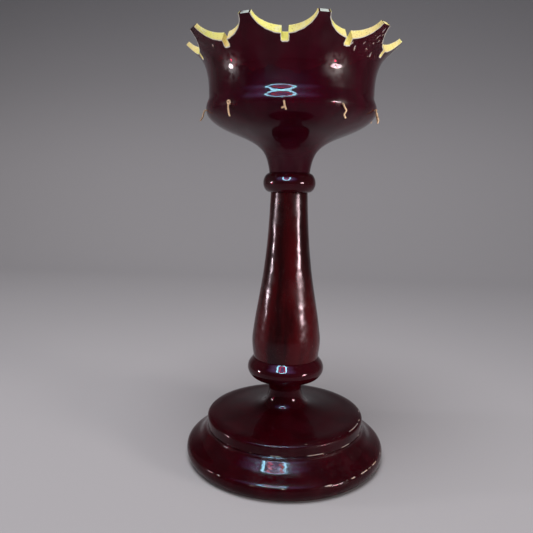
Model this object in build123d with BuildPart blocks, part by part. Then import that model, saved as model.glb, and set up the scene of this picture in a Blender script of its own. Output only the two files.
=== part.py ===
"""A mantel lustre of dark ruby glass, without its drops.

A crown bowl stands on a hollow baluster stem and a stepped, flared foot, with a glass ring above the
stem and a glass knop below it. Ten scallops are cut in the flared rim. At the bottom of each scallop
is a hook slot, and below it, through the shoulder, a small drilled hole that holds the brass wire
which a drop once hung from. Gilding lines the scallops and the slots.

Frame: millimetres, +Z up, origin at the centre of the resting ring. The front is -Y, and a bay is
one scallop with its slot, its hole and its wire. Bay 1 faces the front and the bays run anticlockwise
seen from above.
"""

import os
from math import cos, hypot, radians, sin

from build123d import *

# Bays round the bowl
bay_count = 10
bay_angle = 360 / bay_count

# Foot, from the table up: round edge, flared skirt, groove, band, dished top and waisted neck
foot_radius = 84.3
foot_edge_height = 8.0
foot_edge_undercut = 4.8
foot_rest_width = 5.5
foot_skirt_width = 17.7
foot_skirt_height = 18.6
foot_groove_width = 1.4
foot_groove_depth = 0.9
foot_band_height = 5.5
foot_shoulder_width = 3.1
foot_shoulder_height = 3.5
foot_dish_height = 20.0
foot_waist_radius = 13.9
foot_neck_height = 9.0
foot_wall = 5.5
foot_crown_rise = 5.0

# Seats: the radii of the flat faces where one piece of glass is joined to the next
foot_seat_radius = 16.0
knop_seat_radius = 27.4
stem_seat_radius = 15.2
ring_seat_radius = 16.6

# Lower knop
knop_radius = 32.4
knop_height = 20.2

# Stem, a hollow baluster
stem_radius = 28.8
stem_height = 138.3
stem_wall = 4.2

# Neck ring
ring_radius = 21.5
ring_height = 15.9

# Bowl, from its seat up: underside, rounded shoulder, upright wall and flared rim
bowl_radius = 67.8
bowl_underside_height = 48.4
bowl_shoulder_step = 2.3
bowl_shoulder_height = 8.6
bowl_wall_height = 42.6
bowl_flare = 19.0
bowl_wall = 6.0
bowl_rim_wall = 3.4
bowl_floor = 12.6

# Scallops and hook slots, cut along a line that leans in from upright as it rises
cut_lean = 23.0
cut_reach = 22.0
scallop_half_width = 22.4
scallop_depth = 15.3
slot_width = 4.8
slot_depth = 4.4
slot_corner_radius = 0.8
gilding_thickness = 0.25

# Hanger wires: brass, turned up inside the bowl and hanging down outside it
wire_radius = 0.6
wire_inner_bend = 0.2
wire_drop = 10.0
wire_tail_length = 3.8
wire_glass_gap = 0.4
eye_radius = 1.15
bead_radius = 0.95
blade_radius = 0.95

# Drilled holes in the shoulder, each with its wire lying in the bottom of it
hole_clearance = 0.4
hole_below_shoulder = 1.5
wire_seat_clearance = 0.05

# Shares of the outlines: how far across and how far up each point lies between two corners
foot_skirt_shares = ((0.93, 0.23), (0.70, 0.385), (0.40, 0.545), (0.17, 0.77))
foot_shoulder_shares = ((0.78, 0.66),)
foot_dish_shares = ((0.83, 0.045), (0.53, 0.11), (0.245, 0.23), (0.093, 0.40), (0.022, 0.70))
foot_neck_shares = ((0.15, 0.55),)
knop_shares = ((0.37, 0.06), (0.73, 0.16), (0.94, 0.35), (1.0, 0.53), (0.94, 0.73), (0.82, 0.87))
stem_shares = (
    (0.96, 0.045),
    (1.0, 0.11),
    (0.95, 0.16),
    (0.84, 0.237),
    (0.53, 0.418),
    (0.25, 0.62),
    (0.075, 0.835),
)
ring_shares = ((0.49, 0.06), (0.86, 0.24), (1.0, 0.49), (0.89, 0.72), (0.67, 0.88))
bowl_underside_shares = (
    (0.027, 0.157),
    (0.104, 0.343),
    (0.203, 0.442),
    (0.373, 0.541),
    (0.594, 0.634),
    (0.773, 0.721),
    (0.906, 0.816),
    (0.979, 0.907),
)
bowl_shoulder_shares = ((0.80, 0.40), (0.28, 0.76))
scallop_base_shares = (0.405, 0.75)
bowl_flare_shares = (
    (0.0, 0.116),
    (0.026, 0.328),
    (0.132, 0.533),
    (0.237, 0.646),
    scallop_base_shares,
    (0.605, 0.84),
)

# Hanging lengths of the wires, bay by bay: outward, anticlockwise and down, as shares of the drop
wire_shares = {
    1: ((0.0, 0.07, 0.37), (0.0, 0.16, 0.58)),
    2: ((0.0, 0.04, 0.15), (0.0, 0.27, 0.45), (0.0, 0.06, 0.75), (0.0, 0.22, 0.98)),
    3: ((0.04, 0.02, 0.20), (0.20, 0.06, 0.80), (0.14, 0.05, 0.96)),
    4: ((0.04, -0.05, 0.22), (0.02, 0.12, 0.42)),
    5: ((0.0, 0.12, 0.34), (0.0, -0.10, 0.66), (0.0, 0.02, 1.02)),
    6: ((0.0, -0.06, 0.52), (0.0, 0.10, 0.78)),
    7: ((0.0, -0.08, 0.30), (0.0, 0.18, 0.62), (0.0, 0.04, 0.92)),
    8: ((0.08, 0.03, 0.18), (0.12, -0.06, 0.44)),
    9: ((0.10, 0.0, 0.18), (0.17, 0.0, 0.50), (0.36, 0.03, 0.80)),
    10: ((0.0, -0.07, 0.20), (0.0, 0.02, 0.66), (0.0, 0.12, 0.86)),
}
fork_shares = (0.0, -0.17, 0.47)
fork_bays = (1, 6)
eye_bays = (5, 10)
bead_bays = (3, 7)
blade_bays = (3, 8)


def placed(shares, corner, opposite):
    """Turn shares into the points of an outline between two corners."""
    (radius_a, height_a), (radius_b, height_b) = corner, opposite
    return [
        (radius_a + (radius_b - radius_a) * across, height_a + (height_b - height_a) * up)
        for across, up in shares
    ]


def moved_in(before, point, after, wall):
    """Move an outline's point in by a wall, square to the line through its two neighbours."""
    across, up = after[0] - before[0], after[1] - before[1]
    length = hypot(across, up)
    return (point[0] - wall * up / length, point[1] + wall * across / length)


def lined(outline, wall):
    """Give the inner side of a wall: every point of the outline but its ends, moved in by the wall."""
    triples = zip(outline, outline[1:], outline[2:])
    return [moved_in(before, point, after, wall) for before, point, after in triples]


def bay_turn(bay):
    """Give the angle of a bay from the front, in radians, anticlockwise seen from above."""
    return radians((bay - 1) * bay_angle)


# Levels of the joints between the pieces
knop_level = (
    foot_edge_height
    + foot_skirt_height
    + foot_groove_width
    + foot_band_height
    + foot_shoulder_height
    + foot_dish_height
    + foot_neck_height
)
stem_level = knop_level + knop_height
ring_level = stem_level + stem_height
bowl_level = ring_level + ring_height

# Foot
foot_disc_radius = foot_radius - foot_skirt_width
foot_rest_radius = foot_radius - foot_edge_undercut
foot_inner_radius = foot_rest_radius - foot_rest_width
skirt_level = foot_edge_height + foot_skirt_height
band_level = skirt_level + foot_groove_width
shoulder_level = band_level + foot_band_height
dish_level = shoulder_level + foot_shoulder_height
waist_level = dish_level + foot_dish_height

edge_top = (foot_radius, foot_edge_height)
skirt_top = (foot_disc_radius, skirt_level)
groove_bottom = (foot_disc_radius - foot_groove_depth, skirt_level + foot_groove_width / 2)
band_bottom = (foot_disc_radius, band_level)
band_top = (foot_disc_radius, shoulder_level)
dish_rim = (foot_disc_radius - foot_shoulder_width, dish_level)
waist = (foot_waist_radius, waist_level)
foot_seat = (foot_seat_radius, knop_level)

skirt_line = [
    edge_top,
    *placed(foot_skirt_shares, (foot_disc_radius, foot_edge_height), (foot_radius, skirt_level)),
    skirt_top,
]
shoulder_line = [
    band_top,
    *placed(foot_shoulder_shares, (dish_rim[0], shoulder_level), (foot_disc_radius, dish_level)),
]
dish_line = [
    dish_rim,
    *placed(foot_dish_shares, (foot_waist_radius, dish_level), (dish_rim[0], waist_level)),
    waist,
    *placed(foot_neck_shares, waist, foot_seat),
    foot_seat,
]
skirt_lining = lined([(foot_radius, 0), *skirt_line, band_top], foot_wall)
dish_lining = lined([band_top, *dish_line[:4]], foot_wall)
foot_crown = (0, dish_level + foot_crown_rise)

with BuildPart() as foot:
    with BuildSketch(Plane.XZ):
        with BuildLine():
            Line((foot_inner_radius, 0), (foot_rest_radius, 0))
            TangentArc(edge_top, (foot_rest_radius, 0), tangent=(0, -1))
            Spline(skirt_line, tangents=[(0, 1), (0, 1)])
            Polyline(skirt_top, groove_bottom, band_bottom, band_top)
            Spline([*shoulder_line, *dish_line])
            Polyline(foot_seat, (0, knop_level), foot_crown)
            Spline([foot_crown, *reversed(dish_lining)], tangents=[(1, 0), (1, 0)])
            Line(dish_lining[0], skirt_lining[-1])
            Spline(list(reversed(skirt_lining)))
            Line(skirt_lining[0], (foot_inner_radius, 0))
        make_face()
    revolve(axis=Axis.Z)
foot.part.label = "foot"

# Lower knop
knop_seat = (knop_seat_radius, stem_level)
knop_line = [foot_seat, *placed(knop_shares, foot_seat, (knop_radius, stem_level)), knop_seat]

with BuildPart() as lower_knop:
    with BuildSketch(Plane.XZ):
        with BuildLine():
            Spline(knop_line)
            Polyline(knop_seat, (0, stem_level), (0, knop_level), foot_seat)
        make_face()
    revolve(axis=Axis.Z)
lower_knop.part.label = "lower_knop"

# Stem
stem_seat = (stem_seat_radius, ring_level)
stem_line = [
    knop_seat,
    *placed(stem_shares, (stem_seat_radius, stem_level), (stem_radius, ring_level)),
    stem_seat,
]
bore_line = [
    (knop_seat_radius - stem_wall, stem_level),
    *lined(stem_line, stem_wall),
    (stem_seat_radius - stem_wall, ring_level),
]

with BuildPart() as stem:
    with BuildSketch(Plane.XZ):
        with BuildLine():
            Spline(stem_line)
            Line(stem_seat, bore_line[-1])
            Spline(list(reversed(bore_line)))
            Line(bore_line[0], knop_seat)
        make_face()
    revolve(axis=Axis.Z)
stem.part.label = "stem"

# Neck ring
ring_seat = (ring_seat_radius, bowl_level)
ring_line = [stem_seat, *placed(ring_shares, stem_seat, (ring_radius, bowl_level)), ring_seat]

with BuildPart() as neck_ring:
    with BuildSketch(Plane.XZ):
        with BuildLine():
            Spline(ring_line)
            Polyline(ring_seat, (0, bowl_level), (0, ring_level), stem_seat)
        make_face()
    revolve(axis=Axis.Z)
neck_ring.part.label = "neck_ring"

# Bowl, first as a blank whose rim isn't cut yet
widest_level = bowl_level + bowl_underside_height
crease_level = widest_level + bowl_shoulder_height
rim_level = crease_level + bowl_wall_height
bowl_wall_radius = bowl_radius - bowl_shoulder_step
bowl_rim_radius = bowl_wall_radius + bowl_flare

widest = (bowl_radius, widest_level)
crease = (bowl_wall_radius, crease_level)
rim = (bowl_rim_radius, rim_level)
underside_line = [ring_seat, *placed(bowl_underside_shares, ring_seat, widest), widest]
turn_line = [
    *placed(bowl_shoulder_shares, (bowl_wall_radius, widest_level), (bowl_radius, crease_level)),
    crease,
]
flare_line = [crease, *placed(bowl_flare_shares, crease, rim), rim]
rim_inner = moved_in(flare_line[-2], rim, rim, bowl_rim_wall)
thinning_wall = (bowl_wall + bowl_rim_wall) / 2
floor_line = [(0, bowl_level + bowl_floor), *lined(underside_line[1:], bowl_wall)]
throat_line = [
    *lined(flare_line[:-1], bowl_wall),
    moved_in(flare_line[-3], flare_line[-2], rim, thinning_wall),
    rim_inner,
]

with BuildPart() as blank:
    with BuildSketch(Plane.XZ):
        with BuildLine():
            Spline([*underside_line, *turn_line])
            Spline(flare_line)
            Line(rim, rim_inner)
            Spline(throat_line, tangents=[(0, 1), (1, 1)])
            Line(throat_line[0], floor_line[-1])
            Spline(floor_line, tangents=[(1, 0), (0, 1)])
            Polyline(floor_line[0], (0, bowl_level), ring_seat)
        make_face()
    revolve(axis=Axis.Z)

scallop_radius, scallop_level = placed((scallop_base_shares,), crease, rim)[0]
lean = radians(cut_lean)


def rim_cutter(growth):
    """Make the front bay's cutter: a half-ellipse scallop over a slot, grown all round."""
    front = Plane(
        origin=(0, -scallop_radius, scallop_level), x_dir=(1, 0, 0), z_dir=(0, sin(lean), cos(lean))
    )
    with BuildPart() as cutter:
        with BuildSketch(front):
            with Locations((0, -scallop_depth)):
                Ellipse(scallop_half_width + growth, scallop_depth + growth)
            with Locations((0, (slot_depth + growth - scallop_depth) / 2)):
                RectangleRounded(
                    slot_width + 2 * growth,
                    scallop_depth + slot_depth + growth,
                    slot_corner_radius + growth,
                )
        extrude(amount=cut_reach, both=True)
    return cutter.part


lined_cutter = rim_cutter(gilding_thickness)

# Drill for the front bay's hole, from inside the wall to clear of the shoulder
hole_radius = wire_radius + hole_clearance
hole_level = widest_level - hole_below_shoulder
drill_start = bowl_wall_radius - 2 * bowl_wall
drill_end = bowl_radius + bowl_wall

with BuildPart() as drill:
    with BuildSketch(Plane(origin=(0, -drill_start, hole_level), z_dir=(0, -1, 0))):
        Circle(hole_radius)
    extrude(amount=drill_end - drill_start)

with BuildPart() as bowl:
    add(blank.part)
    with PolarLocations(0, bay_count):
        add(drill.part, mode=Mode.SUBTRACT)
    with PolarLocations(0, bay_count):
        add(lined_cutter, mode=Mode.SUBTRACT)
bowl.part.label = "bowl"

# Gilding: a thin coat on the cut faces of one bay, repeated round the rim
with BuildPart() as lining:
    add(blank.part)
    add(lined_cutter, mode=Mode.INTERSECT)
    add(rim_cutter(0), mode=Mode.SUBTRACT)

with BuildPart() as gilt_edges:
    with PolarLocations(0, bay_count):
        add(lining.part)
gilt_edges.part.label = "gilt_edges"

# Hanger wires: each has a tail inside, a shank through the hole and a length that hangs outside
wire_bend_radius = wire_radius + wire_inner_bend
shank_level = hole_level - hole_radius + wire_seat_clearance + wire_radius
hang_radius = bowl_radius + wire_glass_gap + wire_radius
tail_radius = bowl_wall_radius - bowl_wall - wire_radius


def wire_point(bay, outward, sideways, down):
    """Place a point of a wire: outward from the axis, anticlockwise of the bay, down from the shank."""
    turn = bay_turn(bay)
    return Vector(
        outward * sin(turn) + sideways * cos(turn),
        -outward * cos(turn) + sideways * sin(turn),
        shank_level - down,
    )


def hanging_point(bay, shares):
    """Place a point of a wire's hanging length from its three shares of the drop."""
    outward, sideways, down = (share * wire_drop for share in shares)
    return wire_point(bay, hang_radius + outward, sideways, down)


def swept(points, radius):
    """Sweep a round wire along its corners, bent at each."""
    with BuildPart() as run:
        with BuildLine() as route:
            if len(points) > 2:
                FilletPolyline(*points, radius=wire_bend_radius)
            else:
                Line(*points)
        with BuildSketch(Plane(origin=points[0], z_dir=points[1] - points[0])):
            Circle(radius)
        sweep(path=route.wire())
    return run.part


def hanger_wire(bay):
    """Make one wire, with the fork, eye, bead or flattened blade that its bay has."""
    shank_end = wire_point(bay, hang_radius, 0, 0)
    corners = [hanging_point(bay, shares) for shares in wire_shares[bay]]
    radial = shank_end - wire_point(bay, 0, 0, 0)
    with BuildPart() as wire:
        tail_end = wire_point(bay, tail_radius, 0, -wire_tail_length)
        tail_bend = wire_point(bay, tail_radius, 0, 0)
        add(swept([tail_end, tail_bend, shank_end, *corners], wire_radius))
        if bay in fork_bays:
            add(swept([corners[0], hanging_point(bay, fork_shares)], wire_radius))
        if bay in blade_bays:
            add(swept([corners[0], corners[1]], blade_radius))
        if bay in bead_bays:
            with Locations(shank_end):
                Sphere(bead_radius)
        if bay in eye_bays:
            eye_centre = wire_point(bay, hang_radius, 0, -eye_radius)
            with Locations(Plane(origin=eye_centre, z_dir=radial)):
                Torus(eye_radius, wire_radius)
    return wire


hanger_wires = {f"hanger_wire_{bay:02d}": hanger_wire(bay) for bay in range(1, bay_count + 1)}
for name, wire in hanger_wires.items():
    wire.part.label = name

os.makedirs("parts", exist_ok=True)
for piece in (foot, lower_knop, stem, neck_ring, bowl, gilt_edges, *hanger_wires.values()):
    export_step(piece.part, f"parts/{piece.part.label}.step")
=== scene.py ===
"""Looks of the ruby glass mantel lustre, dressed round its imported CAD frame.

The frame is in metres, +Z up, with the front at -Y. Sizes in this file are millimetres and turn into
metres where a mesh is written. A bay is one scallop of the rim with its slot and its hanger wire, and
bay 1 faces the front.
"""

from __future__ import annotations

import logging
from dataclasses import dataclass, field
from enum import Enum
from math import atan2, cos, pi, radians, sin
from typing import Sequence

import bpy
import numpy as np
from mathutils import Matrix, Vector

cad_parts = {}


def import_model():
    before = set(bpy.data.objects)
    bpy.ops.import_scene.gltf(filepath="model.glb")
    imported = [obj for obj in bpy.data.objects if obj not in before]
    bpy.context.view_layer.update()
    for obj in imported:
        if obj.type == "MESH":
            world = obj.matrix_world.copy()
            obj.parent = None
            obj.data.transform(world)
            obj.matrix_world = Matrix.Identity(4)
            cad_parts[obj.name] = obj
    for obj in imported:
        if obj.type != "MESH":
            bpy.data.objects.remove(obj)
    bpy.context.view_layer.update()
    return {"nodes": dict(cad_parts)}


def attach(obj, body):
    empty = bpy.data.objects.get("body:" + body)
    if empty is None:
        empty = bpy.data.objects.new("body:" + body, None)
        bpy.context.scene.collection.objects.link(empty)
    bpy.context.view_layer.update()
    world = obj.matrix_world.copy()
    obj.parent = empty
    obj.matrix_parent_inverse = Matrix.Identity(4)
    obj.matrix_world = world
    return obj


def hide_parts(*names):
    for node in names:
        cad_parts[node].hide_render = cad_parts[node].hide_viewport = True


Array = np.ndarray
Point = tuple[float, float]
Colour = tuple[float, float, float]

MM = 0.001
BAYS = 10
BAY_ANGLE = 2 * pi / BAYS

log = logging.getLogger("lustre")


class Closing(Enum):
    """How an outline that is carried round the axis is closed."""

    POLES = "both ends lie on the axis"
    LOOP = "the last point runs back into the first"


# --- Outlines ---------------------------------------------------------------------------------------


def spline_through(
    points: Sequence[Point], count: int, start: Point | None = None, end: Point | None = None
) -> Array:
    """Carry a cubic spline through points.

    The parameter is the length of the chords added up. Between two points the curve is the cubic that
    has their places and second derivatives, and those are the ones that let the slope run on unbroken
    at every point. At an end the slope is the one given, or else the second derivative stays level.

    Args:
        points: the places that the spline goes through.
        count: how many samples are taken, evenly along the parameter.
        start: the direction at the first point, if it is fixed.
        end: the direction at the last point, if it is fixed.

    Returns:
        The samples, one row each.
    """
    knots = np.asarray(points, float)
    steps = np.linalg.norm(np.diff(knots, axis=0), axis=1)
    slopes = np.diff(knots, axis=0) / steps[:, None]
    rows = len(knots)
    system, right = np.zeros((rows, rows)), np.zeros((rows, 2))
    inner = np.arange(1, rows - 1)
    system[inner, inner - 1] = steps[:-1]
    system[inner, inner] = 2 * (steps[:-1] + steps[1:])
    system[inner, inner + 1] = steps[1:]
    right[inner] = 6 * (slopes[1:] - slopes[:-1])
    system[0, :2] = (1, -1) if start is None else (2 * steps[0], steps[0])
    system[-1, -2:] = (-1, 1) if end is None else (steps[-1], 2 * steps[-1])
    if start is not None:
        right[0] = 6 * (slopes[0] - np.asarray(start, float))
    if end is not None:
        right[-1] = 6 * (np.asarray(end, float) - slopes[-1])
    bend = np.linalg.solve(system, right)
    at = np.concatenate([[0.0], np.cumsum(steps)])
    t = np.linspace(0, at[-1], count)
    i = np.clip(np.searchsorted(at, t, side="right") - 1, 0, rows - 2)
    h = steps[i][:, None]
    a = (at[i + 1] - t)[:, None] / h
    b = 1 - a
    return a * knots[i] + b * knots[i + 1] + ((a**3 - a) * bend[i] + (b**3 - b) * bend[i + 1]) * h**2 / 6


def placed(shares: Sequence[Point], corner: Point, opposite: Point) -> Array:
    """Turn shares of the way across and up between two corners into points of an outline."""
    return np.asarray(corner) + np.asarray(shares) * (np.asarray(opposite) - np.asarray(corner))


def moved_in(before: Array, point: Array, after: Array, wall: float) -> Array:
    """Move points in by a wall, each square to the line through its two neighbours."""
    along = np.asarray(after, float) - np.asarray(before, float)
    along /= np.linalg.norm(along, axis=-1, keepdims=True)
    return np.asarray(point, float) + wall * np.stack([-along[..., 1], along[..., 0]], axis=-1)


def lined(outline: Sequence[Point], wall: float) -> Array:
    """Give the inner side of a wall: every point of the outline but its ends, moved in."""
    line = np.asarray(outline, float)
    return moved_in(line[:-2], line[1:-1], line[2:], wall)


def rounded(corners: Sequence[Point], trim: float, count: int = 5) -> Array:
    """Round the inner corners of a line of straight runs.

    Each corner is replaced by a parabola that leaves one run and meets the next at the trim length
    from the corner, or at under half a run where the run is short.

    Args:
        corners: the ends and corners of the line.
        trim: the length taken off each run at a corner.
        count: how many points stand for a corner.

    Returns:
        The rounded line, one row per point.
    """
    line = np.asarray(corners, float)
    runs = np.linalg.norm(np.diff(line, axis=0), axis=1)
    cut = np.minimum(trim, 0.45 * np.minimum(runs[:-1], runs[1:]))[:, None]
    unit = np.diff(line, axis=0) / runs[:, None]
    first, last = line[1:-1] - cut * unit[:-1], line[1:-1] + cut * unit[1:]
    t = np.linspace(0, 1, count)[None, :, None]
    curve = (1 - t) ** 2 * first[:, None] + 2 * t * (1 - t) * line[1:-1, None] + t**2 * last[:, None]
    return np.concatenate([line[:1], curve.reshape(-1, 2), line[-1:]])


def straight(first: Point, last: Point, count: int) -> Array:
    """Space points evenly along a straight run, both ends among them."""
    return np.linspace(np.asarray(first, float), np.asarray(last, float), count)


# --- Meshes -----------------------------------------------------------------------------------------


def out_of_true(turn: Array, radius: Array, height: Array) -> Array:
    """Give the small departure from round that blown glass has, in millimetres outwards.

    It is the sum of three slow waves round the axis, each with its own drift up the height, and it
    fades to nothing towards the axis.
    """
    wave = (
        0.09 * np.cos(2 * turn + 0.021 * height + 0.7)
        + 0.05 * np.cos(3 * turn - 0.034 * height + 2.1)
        + 0.025 * np.cos(5 * turn + 0.083 * height)
    )
    return wave * np.clip(radius / 30, 0, 1)


def around(radius: Array, turn: Array, height: Array) -> Array:
    """Place points by radius, turn from the front and height, in millimetres."""
    true = radius + out_of_true(turn, radius, height)
    return np.stack([true * np.sin(turn), -true * np.cos(turn), height + 0 * turn], axis=-1)


def grid_faces(rows: int, columns: int, wrap_rows: bool, wrap_columns: bool) -> Array:
    """Number the four corners of every face of a grid whose points are stored row by row."""
    r = np.arange(rows if wrap_rows else rows - 1)[:, None]
    c = np.arange(columns if wrap_columns else columns - 1)[None, :]
    below, above = r * columns, ((r + 1) % rows) * columns
    right = (c + 1) % columns
    return np.stack([below + c, below + right, above + right, above + c], axis=-1).reshape(-1, 4)


def write_mesh(name: str, points: Array, quads: Array, triangles: Array | None = None) -> bpy.types.Object:
    """Put points and faces into a new object at the origin.

    Args:
        name: the piece's name.
        points: its points in millimetres.
        quads: four corner numbers per face.
        triangles: three corner numbers per face, if it has such faces.

    Returns:
        The new object, smooth all over but at sharp edges.
    """
    three = np.zeros((0, 3), int) if triangles is None else triangles
    corners = np.concatenate([quads.ravel(), three.ravel()]).astype(np.int32)
    sizes = np.concatenate([np.full(len(quads), 4), np.full(len(three), 3)])
    starts = np.concatenate([[0], np.cumsum(sizes)[:-1]]).astype(np.int32)
    mesh = bpy.data.meshes.new(name)
    mesh.vertices.add(len(points))
    mesh.vertices.foreach_set("co", (points * MM).astype(np.float32).ravel())
    mesh.loops.add(len(corners))
    mesh.loops.foreach_set("vertex_index", corners)
    mesh.polygons.add(len(sizes))
    mesh.polygons.foreach_set("loop_start", starts)
    mesh.polygons.foreach_set("use_smooth", np.ones(len(sizes), bool))
    mesh.update(calc_edges=True)
    mesh.validate()
    mesh.set_sharp_from_angle(angle=radians(35))
    piece = bpy.data.objects.new(name, mesh)
    bpy.context.scene.collection.objects.link(piece)
    return piece


def turned_piece(name: str, outline: Array, closing: Closing, columns: int = 256) -> bpy.types.Object:
    """Carry an outline round the axis.

    A point at radius r and height z of the outline becomes a ring of points at that radius and height,
    with the small departure from round added. An outline that starts and ends on the axis gets one
    point at each pole. The outline runs up the outside first, so that the faces point outwards.

    Args:
        name: the piece's name.
        outline: radius and height, one row per point.
        closing: how the outline is closed.
        columns: how many points a ring has.

    Returns:
        The new object.
    """
    turn = np.arange(columns) * 2 * pi / columns
    if closing is Closing.LOOP:
        rings = around(outline[:, :1], turn[None, :], outline[:, 1:])
        quads = grid_faces(len(outline), columns, True, True)
        return write_mesh(name, rings.reshape(-1, 3), quads)
    middle = outline[1:-1]
    rings = around(middle[:, :1], turn[None, :], middle[:, 1:]).reshape(-1, 3)
    poles = np.array([[0, 0, outline[0, 1]], [0, 0, outline[-1, 1]]])
    return write_mesh(
        name,
        np.concatenate([rings, poles]),
        grid_faces(len(middle), columns, False, True),
        pole_faces(len(middle), columns),
    )


def pole_faces(rows: int, columns: int) -> Array:
    """Number the corners of the fans that close a grid at its first and last rows."""
    c = np.arange(columns)
    after = (c + 1) % columns
    first = np.stack([after, c, np.full(columns, rows * columns)], axis=-1)
    top = (rows - 1) * columns
    last = np.stack([top + c, top + after, np.full(columns, rows * columns + 1)], axis=-1)
    return np.concatenate([first, last])


def sheet_parts(front: Array, back: Array) -> tuple[Array, Array]:
    """Close a thin sheet from the grids of its two sides.

    Args:
        front: rows by columns of points of the free side.
        back: the same grid on the side that lies on the glass.

    Returns:
        The points, and four corner numbers per face, with all four borders closed.
    """
    rows, columns = front.shape[:2]
    size = rows * columns
    free = grid_faces(rows, columns, False, False)
    index = np.arange(size).reshape(rows, columns)
    border = np.concatenate([index[0], index[1:, -1], index[-1, -2::-1], index[-2:0:-1, 0]])
    after = np.roll(border, -1)
    walls = np.stack([border + size, after + size, after, border], axis=-1)
    quads = np.concatenate([free, free[:, ::-1] + size, walls])
    return np.concatenate([front.reshape(-1, 3), back.reshape(-1, 3)]), quads


def joined_sheets(name: str, sheets: Sequence[tuple[Array, Array]]) -> bpy.types.Object:
    """Put several closed sheets into one object."""
    offsets = np.cumsum([0] + [len(points) for points, _ in sheets[:-1]])
    points = np.concatenate([points for points, _ in sheets])
    quads = np.concatenate([quads + offset for (_, quads), offset in zip(sheets, offsets)])
    return write_mesh(name, points, quads)


def bored(piece: bpy.types.Object, borer: bpy.types.Object) -> None:
    """Take one object's solid out of another's, and remove the first."""
    cut = piece.modifiers.new("holes", "BOOLEAN")
    cut.operation, cut.solver, cut.object = "DIFFERENCE", "EXACT", borer
    graph = bpy.context.evaluated_depsgraph_get()
    mesh = bpy.data.meshes.new_from_object(piece.evaluated_get(graph))
    piece.modifiers.clear()
    piece.data = mesh
    mesh.set_sharp_from_angle(angle=radians(35))
    bpy.data.objects.remove(borer)


# --- Shader groups and finishes ---------------------------------------------------------------------


class Nodes:
    """Adds nodes to a tree and links them, so that a material reads as a list of steps."""

    def __init__(self, tree: bpy.types.NodeTree) -> None:
        """Empty the tree and keep it."""
        self.tree = tree
        tree.nodes.clear()

    def add(self, kind: str, inputs: dict | None = None, **settings: object) -> bpy.types.Node:
        """Add a node.

        Args:
            kind: Blender's name for the node's type.
            inputs: by input name or number, a value to set or another node's output to link.
            settings: the node's own settings.

        Returns:
            The node.
        """
        node = self.tree.nodes.new(kind)
        for key, value in settings.items():
            setattr(node, key, value)
        for key, value in (inputs or {}).items():
            if isinstance(value, bpy.types.NodeSocket):
                self.tree.links.new(value, node.inputs[key])
            else:
                node.inputs[key].default_value = value
        return node

    def ramp(self, value: bpy.types.NodeSocket, low: float, high: float) -> bpy.types.NodeSocket:
        """Stretch a value smoothly from 0 at low to 1 at high."""
        step = self.add(
            "ShaderNodeMapRange",
            {"Value": value, "From Min": low, "From Max": high},
            interpolation_type="SMOOTHSTEP",
        )
        return step.outputs["Result"]

    def blend(self, mask: object, first: object, second: object) -> bpy.types.NodeSocket:
        """Mix two colours, the second where the mask is 1."""
        mix = self.add("ShaderNodeMix", data_type="RGBA")
        for key, value in (("Factor", mask), ("A", first), ("B", second)):
            index = next(i for i, s in enumerate(mix.inputs) if s.name == key and s.enabled)
            if isinstance(value, bpy.types.NodeSocket):
                self.tree.links.new(value, mix.inputs[index])
            else:
                mix.inputs[index].default_value = value
        return next(s for s in mix.outputs if s.enabled)

    def scaled(self, value: bpy.types.NodeSocket, low: float, high: float) -> bpy.types.NodeSocket:
        """Turn a 0 to 1 value into a low to high one."""
        step = self.add("ShaderNodeMapRange", {"Value": value, "To Min": low, "To Max": high})
        return step.outputs["Result"]


def new_group(name: str, inputs: dict[str, float], outputs: dict[str, str]) -> tuple[Nodes, dict]:
    """Start a shader group with a place on the piece and numbers in, and the given sockets out.

    Args:
        name: the group's name.
        inputs: the number inputs and their starting values.
        outputs: the outputs, each "NodeSocketFloat" or "NodeSocketColor".

    Returns:
        The group's nodes, and its input sockets by name.
    """
    tree = bpy.data.node_groups.new(name, "ShaderNodeTree")
    nodes = Nodes(tree)
    tree.interface.new_socket("Place", in_out="INPUT", socket_type="NodeSocketVector")
    for key, value in inputs.items():
        tree.interface.new_socket(key, in_out="INPUT", socket_type="NodeSocketFloat").default_value = value
    for key, kind in outputs.items():
        tree.interface.new_socket(key, in_out="OUTPUT", socket_type=kind)
    given = nodes.add("NodeGroupInput")
    return nodes, {socket.name: socket for socket in given.outputs if socket.name}


def noise(
    nodes: Nodes, place: object, scale: object, detail: float, rough: float = 0.5
) -> bpy.types.NodeSocket:
    """Add a noise texture and give its value."""
    made = nodes.add(
        "ShaderNodeTexNoise", {"Vector": place, "Scale": scale, "Detail": detail, "Roughness": rough}
    )
    return made.outputs["Fac"]


def stretched(nodes: Nodes, place: object, shares: tuple[float, float, float]) -> bpy.types.NodeSocket:
    """Multiply a place by a share along each axis: a pattern is drawn out along an axis with a small one."""
    made = nodes.add("ShaderNodeVectorMath", {0: place, 1: shares}, operation="MULTIPLY")
    return made.outputs["Vector"]


def smudge_group() -> bpy.types.NodeTree:
    """Make the group for handling marks: broad smears, with fine dust specks in them."""
    nodes, given = new_group(
        "handling_marks",
        {"Smear Scale": 18.0, "Dust Scale": 900.0},
        {"Smears": "NodeSocketFloat", "Dust": "NodeSocketFloat"},
    )
    broad = noise(nodes, stretched(nodes, given["Place"], (1.0, 1.0, 0.55)), given["Smear Scale"], 4.0, 0.62)
    fine = noise(nodes, given["Place"], given["Dust Scale"], 2.0)
    nodes.add(
        "NodeGroupOutput",
        {"Smears": nodes.ramp(broad, 0.46, 0.72), "Dust": nodes.ramp(fine, 0.71, 0.77)},
    )
    return nodes.tree


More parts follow.
